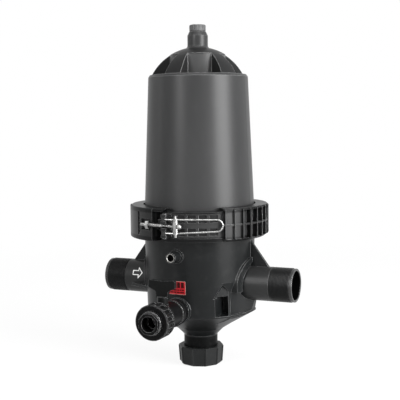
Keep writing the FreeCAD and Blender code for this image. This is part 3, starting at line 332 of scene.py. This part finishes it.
innerLook = dict(plainLook, dark=(0.05, 0.05, 0.055), light=(0.06, 0.06, 0.065), roughness=0.5)


# 1 close to the bail's upright pivot line, where its wire is bent into eyes
def eyeZone(tree, coords, eye):
    away = fromLine(tree, coords, eye["place"], (1, 1, 0))
    return remap(tree, away, eye["radius"], eye["radius"] + eye["fade"], 1.0, 0.0)


# drawn stainless wire and turned steel
def stainless(name, look):
    mat, tree, shader = newMaterial(name)
    coords = objectCoords(tree)
    scratch = noise(tree, coords, look["scratchScale"], detail=3.0, rough=0.6,
                    stretch=look["scratchStretch"])
    smear = noise(tree, coords, look["smearScale"], detail=4.0, rough=0.6)
    colour = blendColours(tree, remap(tree, smear, *look["smearSpan"]), look["bright"], look["dull"])
    if "eye" in look:
        colour = blendColours(tree, eyeZone(tree, coords, look["eye"]), colour, look["eye"]["colour"])
    rough = remap(tree, scratch, *look["scratchSpan"], look["roughLow"], look["roughHigh"])
    tree.links.new(colour, shader.inputs["Base Color"])
    tree.links.new(rough, shader.inputs["Roughness"])
    shader.inputs["Metallic"].default_value = 1.0
    addRelief(tree, shader, scratch, look["scratchStrength"], look["scratchDepth"],
              roundedNormal(tree, look["edgeRound"]))
    return mat


wireLook = dict(bright=(0.36, 0.36, 0.355), dull=(0.2, 0.2, 0.197), scratchScale=900.0,
                scratchSpan=(0.2, 0.8), scratchStretch=(0.3, 1.0, 1.0), scratchStrength=0.15,
                scratchDepth=0.05 * mm, smearScale=80.0, smearSpan=(0.35, 0.7), roughLow=0.22,
                roughHigh=0.34, edgeRound=0.25 * mm)
pinsLow, pinsHigh = boxOf("latch_pivot_pins")
pivot = nodes["latch_bail"].matrix_world.inverted() @ ((pinsLow + pinsHigh) / 2)
bailLook = dict(wireLook, eye=dict(place=pivot, radius=5.3 * mm, fade=0.6 * mm, colour=(0.05, 0.05, 0.05)))
insertLook = dict(wireLook, bright=(0.34, 0.335, 0.32), dull=(0.14, 0.137, 0.13),
                  scratchStretch=(1.0, 0.2, 1.0))
meshLook = dict(wireLook, bright=(0.6, 0.6, 0.6), dull=(0.45, 0.45, 0.45), roughLow=0.3, roughHigh=0.5)


# rubber seals and the ball's plastic seats
def softRubber(name, look):
    mat, tree, shader = newMaterial(name)
    coords = objectCoords(tree)
    bloom = noise(tree, coords, look["bloomScale"], detail=5.0, rough=0.6)
    rough = remap(tree, bloom, *look["bloomSpan"], look["roughLow"], look["roughHigh"])
    tree.links.new(blendColours(tree, bloom, look["dark"], look["light"]), shader.inputs["Base Color"])
    tree.links.new(rough, shader.inputs["Roughness"])
    grain = noise(tree, coords, look["grainScale"], detail=3.0, rough=0.55)
    addRelief(tree, shader, grain, look["grainStrength"], look["grainDepth"])
    return mat


sealLook = dict(dark=(0.012, 0.012, 0.012), light=(0.022, 0.022, 0.022), bloomScale=300.0,
                bloomSpan=(0.3, 0.7), roughLow=0.6, roughHigh=0.8, grainScale=1500.0,
                grainStrength=0.1, grainDepth=0.1 * mm)
seatLook = dict(sealLook, dark=(0.78, 0.78, 0.75), light=(0.84, 0.84, 0.82), bloomScale=200.0,
                roughLow=0.35, roughHigh=0.45)

# which finish each node takes
finishes = {
    "housing": mouldedPlastic("bowlPlastic", housingLook),
    "cover": mouldedPlastic("coverPlastic", coverLook),
    "vent": mouldedPlastic("ventPlastic", ventLook),
    "band": mouldedPlastic("bandPlastic", bandLook),
    "cap": mouldedPlastic("capPlastic", capLook),
    "valve": mouldedPlastic("valvePlastic", valveLook),
    "handle": mouldedPlastic("handlePlastic", handleLook),
    "inner": mouldedPlastic("elementPlastic", innerLook),
    "wire": stainless("stainlessWire", wireLook),
    "bail": stainless("bailWire", bailLook),
    "pin": mouldedPlastic("pivotCoat", pinLook),
    "insert": stainless("turnedInsert", insertLook),
    "mesh": stainless("screenMesh", meshLook),
    "seal": softRubber("sealRubber", sealLook),
    "seat": softRubber("seatPlastic", seatLook),
}
nodeFinish = {
    "lower_body": "housing", "cover": "cover", "cover_seal": "seal", "vent_cap": "vent", "vent_seal": "seal",
    "band_left_half": "band", "band_right_half": "band", "band_hinge_pin": "wire", "latch_pivot_pins": "pin",
    "latch_bail": "bail", "latch_trunnion": "wire", "latch_rod": "wire", "latch_washer": "wire",
    "latch_nut": "wire", "drain_cap": "cap", "drain_seal": "seal", "pressure_port_insert": "insert",
    "valve_adapter": "valve", "valve_body": "valve", "valve_ball_seats": "seat", "valve_ball": "valve",
    "valve_stem": "valve", "valve_handle": "handle", "valve_end_connector": "valve", "valve_seal": "seal",
    "valve_union_nut": "valve", "element_core": "inner", "element_screen": "mesh", "element_base": "inner",
    "element_seal": "seal", "element_top": "inner",
}
for nodeName, finish in nodeFinish.items():
    for place in nodes[nodeName].material_slots:
        place.material = finishes[finish]
print("finishes set on", len(nodeFinish), "nodes")


# mesh helpers
def newPiece(name, verts, faces, material, body, smooth=True):
    mesh = bpy.data.meshes.new(name)
    mesh.from_pydata([tuple(v) for v in verts], [], faces)
    mesh.materials.append(material)
    mesh.validate()
    for polygon in mesh.polygons:
        polygon.use_smooth = smooth
    piece = bpy.data.objects.new(name, mesh)
    scene.collection.objects.link(piece)
    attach(piece, body)


# a grid of points joined in quads, closed round its first direction when asked
def gridFaces(rows, columns, closed=False):
    faces = []
    for i in range(rows if closed else rows - 1):
        for j in range(columns - 1):
            a = i * columns + j
            b = ((i + 1) % rows) * columns + j
            faces.append((a, a + 1, b + 1, b))
    return faces


# directions square to an axis, evenly all round it
def spokes(along, count):
    side = along.orthogonal().normalized()
    other = along.cross(side)
    angles = [2 * math.pi * i / count for i in range(count)]
    return [side * math.cos(angle) + other * math.sin(angle) for angle in angles]


# a screw thread: the grid is sheared along the helix so that each crest stays sharp
def screwThread(name, start, along, thread, material, body):
    ridge, pitch, length, root = (thread[k] for k in ("ridge", "pitch", "length", "root"))
    steps, around = len(ridge), thread["around"]
    rows = int((length / pitch + 2) * steps)       # a pitch to spare at each end
    verts = []
    for i, outward in enumerate(spokes(along, around)):
        for j in range(rows):
            place = min(max(pitch * (j / steps + i / around - 1), 0.0), length)
            ends = min(min(place, length - place) / (thread["runout"] * pitch), 1.0)
            radius = root + (thread["crest"] - root) * ridge[j % steps] * ends
            verts.append(start + along * place + outward * radius)
    faces = gridFaces(around, rows)
    last = (around - 1) * rows
    for j in range(rows - steps - 1):       # the seam joins one pitch further on
        faces.append((last + j, last + j + 1, j + steps + 1, j + steps))
    newPiece(name, verts, faces, material, body)


# a nipple's plain lip, turned from points given by depth from the end and radius
def makeLip(name, end, along, n):
    profile = [(n["lipGap"], n["root"]), (n["lipChamfer"], n["lipRadius"]),
               (n["lip"] - n["lipFoot"], n["lipRadius"]), (n["lip"], n["root"])]
    verts = [end + along * depth + outward * radius
             for outward in spokes(along, n["lipAround"]) for depth, radius in profile]
    faces = gridFaces(n["lipAround"], len(profile), True)
    newPiece(name, verts, faces, finishes["housing"], "housing", False)


# the ridge is the thread's height over one pitch, the runout the pitches in which it dies away
rolledThread = dict(ridge=(0.0, 0.05, 0.95, 1.0, 0.95, 0.05), runout=0.6)
nipple = dict(rolledThread, root=28.35 * mm, crest=29.75 * mm, pitch=2.309 * mm, length=35.5 * mm,
              around=128, lip=5.0 * mm, lipRadius=28.95 * mm, lipChamfer=0.45 * mm, lipFoot=0.4 * mm,
              lipGap=0.02 * mm, lipAround=96)
nippleSides = [("inlet", Vector((bodyLow.x, 0, 0)), Vector((1, 0, 0))),
               ("outlet", Vector((bodyHigh.x, 0, 0)), Vector((-1, 0, 0)))]
for side, end, along in nippleSides:
    screwThread(side + "Thread", end + along * nipple["lip"], along, nipple, finishes["housing"],
                "housing")
for side, end, along in nippleSides:
    makeLip(side + "Lip", end, along, nipple)
print("nipple threads made")


# print laid on the skin, worn in patches
def inkMaterial(name, look):
    mat, tree, shader = newMaterial(name)
    patch = noise(tree, objectCoords(tree), look["patchScale"], detail=4.0, rough=0.6)
    colour = blendColours(tree, remap(tree, patch, *look["wornSpan"]), look["colour"], look["worn"])
    rough = remap(tree, patch, *look["roughSpan"], look["roughness"],
                  look["roughness"] + look["roughSpread"])
    tree.links.new(colour, shader.inputs["Base Color"])
    tree.links.new(rough, shader.inputs["Roughness"])
    shader.inputs["Specular IOR Level"].default_value = look["gloss"]
    return mat


inkLook = dict(roughness=0.4, roughSpread=0.15, roughSpan=(0.3, 0.7), gloss=0.15, patchScale=200.0,
               wornSpan=(0.4, 0.75))
paleInk = inkMaterial("labelEdge", dict(inkLook, colour=(0.36, 0.21, 0.18), worn=(0.26, 0.12, 0.11)))
whiteInk = inkMaterial("arrowInk", dict(inkLook, colour=(0.8, 0.8, 0.79), worn=(0.55, 0.55, 0.54),
                                        patchScale=350.0, gloss=0.3))
redFilm = inkMaterial("labelFilm", dict(inkLook, colour=(0.27, 0.006, 0.011), worn=(0.2, 0.005, 0.009),
                                        patchScale=90.0, roughness=0.45))
blackInk = inkMaterial("labelInk", dict(inkLook, colour=(0.012, 0.002, 0.002), worn=(0.035, 0.004, 0.004),
                                        patchScale=300.0, roughness=0.5, gloss=0.06))

flowArrow = dict(centreX=axisX - 111.0 * mm, centreZ=10.0 * mm, length=20 * mm, height=21.5 * mm,
                 shaft=9.0 * mm, head=9.5 * mm, stroke=1.5 * mm, pipeRadius=29.8 * mm, lift=0.12 * mm,
                 cuts=10)


# the arrow's outer and inner outlines, joined as a band and wrapped round the pipe
def makeArrow(a):
    half, head = a["length"] / 2, a["head"]
    tall, slim, stroke = a["height"] / 2, a["shaft"] / 2, a["stroke"]
    slope = math.hypot(head, tall)
    tipIn = stroke * slope / tall
    barb = stroke * (slope + head) / tall
    neck = half - head
    outer = [(-half, -slim), (neck, -slim), (neck, -tall), (half, 0), (neck, tall), (neck, slim),
             (-half, slim)]
    inner = [(-half + stroke, -slim + stroke), (neck + stroke, -slim + stroke),
             (neck + stroke, -tall + barb), (half - tipIn, 0), (neck + stroke, tall - barb),
             (neck + stroke, slim - stroke), (-half + stroke, slim - stroke)]
    corners, cuts = len(outer), a["cuts"]

    def onPipe(x, z):
        angle = (a["centreZ"] + z) / a["pipeRadius"]
        r = a["pipeRadius"] + a["lift"]
        return Vector((a["centreX"] + x, -r * math.cos(angle), r * math.sin(angle)))

    verts = []
    for i in range(corners):
        for cut in range(cuts):
            for ring in (outer, inner):
                (x0, z0), (x1, z1) = ring[i], ring[(i + 1) % corners]
                verts.append(onPipe(x0 + (x1 - x0) * cut / cuts, z0 + (z1 - z0) * cut / cuts))
    faces, total = [], corners * cuts
    for i in range(total):
        j = (i + 1) % total
        faces.append((2 * i, 2 * j, 2 * j + 1, 2 * i + 1))
    newPiece("flowArrow", verts, faces, whiteInk, "housing")


makeArrow(flowArrow)

# plain blocks and dashes stand for print: each starts at x and z, with a width and a height
bowlSide = dict(footRadius=94.0 * mm, footZ=-52.0 * mm, topRadius=98.0 * mm, topZ=94.3 * mm)
fieldLabel = dict(left=-21 * mm, right=14.3 * mm, low=-10.2 * mm, high=12.5 * mm, border=0.6 * mm,
                  borderLift=0.12 * mm, fieldLift=0.18 * mm, printLift=0.24 * mm,
                  fieldCuts=(24, 6), printCuts=(6, 3),
                  blocks=[(x * mm, 1.2 * mm, 5.2 * mm, 9.6 * mm) for x in (-17, -9.6, -0.6, 6.4)]
                  + [(x * mm, -3.4 * mm, wide * mm, 1.9 * mm) for x, wide in
                     ((-17, 4.6), (-11.4, 3.0), (-7.4, 5.6), (-0.6, 3.8), (4.4, 2.4), (7.8, 3.8))]
                  + [(x * mm, -7.4 * mm, wide * mm, 1.9 * mm) for x, wide in
                     ((-17, 2.8), (-13.2, 5.4), (-6.6, 4.0), (-1.4, 5.0), (4.8, 6.8))])


# the bowl's radius at a height on its tapered side
def sideRadius(z):
    share = (z - bowlSide["footZ"]) / (bowlSide["topZ"] - bowlSide["footZ"])
    return bowlSide["footRadius"] + (bowlSide["topRadius"] - bowlSide["footRadius"]) * share


# a patch on the bowl's side, between two places along its arc and two heights
def bowlPatch(name, left, right, low, high, lift, cuts, material):
    columns, rows = cuts
    verts = []
    for i in range(columns + 1):
        for j in range(rows + 1):
            z = low + (high - low) * j / rows
            r = sideRadius(z) + lift
            angle = (left + (right - left) * i / columns) / r
            verts.append(Vector((axisX + r * math.sin(angle), -r * math.cos(angle), z)))
    newPiece(name, verts, gridFaces(columns + 1, rows + 1), material, "housing")


def makeLabel(f):
    left, right, low, high, edge = (f[k] for k in ("left", "right", "low", "high", "border"))
    bowlPatch("labelBorder", left, right, low, high, f["borderLift"], f["fieldCuts"], paleInk)
    bowlPatch("labelField", left + edge, right - edge, low + edge, high - edge, f["fieldLift"],
              f["fieldCuts"], redFilm)
    for i, (x, z, width, height) in enumerate(f["blocks"]):
        bowlPatch("labelBlock" + str(i), x, x + width, z, z + height, f["printLift"], f["printCuts"],
                  blackInk)


makeLabel(fieldLabel)
print("arrow and label made")

rodThread = dict(rolledThread, footX=-26.83 * mm, footY=-118.09 * mm, azimuth=77.2, startAlong=-33.4 * mm,
                 root=2.5 * mm, crest=2.82 * mm, pitch=1.0 * mm, length=64.0 * mm, around=36)


# the tension rod's thread, from its free end to just short of the trunnion
def makeRodThread(r):
    angle = math.radians(r["azimuth"])
    along = Vector((math.sin(angle), -math.cos(angle), 0))
    rodLow, rodHigh = boxOf("latch_rod")
    foot = Vector((axisX + r["footX"], r["footY"], (rodLow.z + rodHigh.z) / 2))
    screwThread("rodThread", foot + along * r["startAlong"], along, r, finishes["wire"],
                "tension_rod")


makeRodThread(rodThread)
print("rod thread made")

# the camera stands where the photograph was taken from
photoView = dict(place=(axisX + 0.63387, -1.43487, 0.28275), yaw=23.83, pitch=5.12, roll=0.64,
                 lens=79.867, sensor=36.0, shiftX=0.0013, farLimit=20.0)


def placeCamera(view):
    yaw, pitch, roll = (math.radians(view[k]) for k in ("yaw", "pitch", "roll"))
    right = Vector((math.cos(yaw), math.sin(yaw), 0))
    ahead = Vector((-math.sin(yaw), math.cos(yaw), 0))
    forward = ahead * math.cos(pitch) - Vector((0, 0, 1)) * math.sin(pitch)
    upward = Vector((0, 0, 1)) * math.cos(pitch) + ahead * math.sin(pitch)
    camUp = upward * math.cos(roll) + right * math.sin(roll)
    camRight = right * math.cos(roll) - upward * math.sin(roll)
    camera = bpy.data.objects.new("photoCamera", bpy.data.cameras.new("photoCamera"))
    scene.collection.objects.link(camera)
    turn = Matrix((camRight, camUp, -forward)).transposed().to_4x4()
    camera.matrix_world = Matrix.Translation(Vector(view["place"])) @ turn
    camera.data.sensor_fit = "HORIZONTAL"
    camera.data.sensor_width = view["sensor"]
    camera.data.lens = view["lens"]
    camera.data.shift_x = view["shiftX"]
    camera.data.clip_end = view["farLimit"]
    return camera


scene.camera = placeCamera(photoView)

floorLook = dict(height=cadBox[0][2] - 0.5 * mm, size=8.0, colour=(0.82, 0.82, 0.82), roughness=0.9,
                 gloss=0.2, nearWhite=0.88, fadeStart=0.35, fadeEnd=1.6)


# the floor keeps the shadow near the filter and fades into the white backdrop further out
def paleFloor(look):
    mat, tree, shader = newMaterial("paleFloor")
    shader.inputs["Base Color"].default_value = (*look["colour"], 1)
    shader.inputs["Roughness"].default_value = look["roughness"]
    shader.inputs["Specular IOR Level"].default_value = look["gloss"]
    glow = addNode(tree, "ShaderNodeEmission", Color=(1, 1, 1, 1), Strength=1.0)
    away = lengthOf(tree, objectCoords(tree))
    share = remap(tree, away, look["fadeStart"], look["fadeEnd"], look["nearWhite"], 1.0)
    mixer = tree.nodes.new("ShaderNodeMixShader")
    tree.links.new(multiply(tree, share, seenRays(tree)), mixer.inputs["Fac"])
    tree.links.new(shader.outputs["BSDF"], mixer.inputs[1])
    tree.links.new(glow.outputs["Emission"], mixer.inputs[2])
    tree.links.new(mixer.outputs["Shader"], tree.nodes["Material Output"].inputs["Surface"])
    s = look["size"]
    mesh = bpy.data.meshes.new("paleFloor")
    mesh.from_pydata([(-s, -s, 0), (s, -s, 0), (s, s, 0), (-s, s, 0)], [], [(0, 1, 2, 3)])
    mesh.materials.append(mat)
    floor = bpy.data.objects.new("paleFloor", mesh)
    floor.location = (axisX, 0, look["height"])
    scene.collection.objects.link(floor)


paleFloor(floorLook)

# the lamps stand round a point on the main axis, with azimuth from the front towards +X
lampTarget = Vector((axisX, 0, 0.15))
lamps = {
    "keyPanel": dict(azimuth=77, elevation=16, away=1.9, size=(1.1, 1.7), power=104),
    "fillPanel": dict(azimuth=-17, elevation=24, away=2.2, size=(0.3, 1.5), power=30),
    "sidePanel": dict(azimuth=-70, elevation=20, away=2.2, size=(0.4, 1.4), power=4.5),
    "topPanel": dict(azimuth=24, elevation=75, away=1.8, size=(1.2, 1.2), power=8),
    "sparkPanel": dict(azimuth=50, elevation=50, away=2.0, size=(0.9, 0.25), power=12),
}


def softLamp(name, look):
    lamp = bpy.data.lights.new(name, "AREA")
    lamp.shape = "RECTANGLE"
    lamp.size, lamp.size_y = look["size"]
    lamp.energy = look["power"]
    panel = bpy.data.objects.new(name, lamp)
    scene.collection.objects.link(panel)
    a, e = math.radians(look["azimuth"]), math.radians(look["elevation"])
    outward = Vector((math.sin(a) * math.cos(e), -math.cos(a) * math.cos(e), math.sin(e)))
    panel.location = lampTarget + outward * look["away"]
    panel.rotation_euler = outward.to_track_quat("Z", "Y").to_euler()


for lampName, lampLook in lamps.items():
    softLamp(lampName, lampLook)

backdropLook = dict(colour=(1, 1, 1), shown=1.0, light=0.4)


# the backdrop is white where it is seen, and a dimmer light elsewhere
def whiteBackdrop(look):
    world = bpy.data.worlds.new("studio")
    scene.world = world
    world.use_nodes = True
    tree = world.node_tree
    light = tree.nodes["Background"]
    shown = tree.nodes.new("ShaderNodeBackground")
    for node, strength in ((light, look["light"]), (shown, look["shown"])):
        node.inputs["Color"].default_value = (*look["colour"], 1)
        node.inputs["Strength"].default_value = strength
    choose = tree.nodes.new("ShaderNodeMixShader")
    tree.links.new(seenRays(tree), choose.inputs["Fac"])
    tree.links.new(light.outputs["Background"], choose.inputs[1])
    tree.links.new(shown.outputs["Background"], choose.inputs[2])
    tree.links.new(choose.outputs["Shader"], tree.nodes["World Output"].inputs["Surface"])


whiteBackdrop(backdropLook)
scene.view_settings.view_transform = "Standard"
print("camera, floor and lamps set")
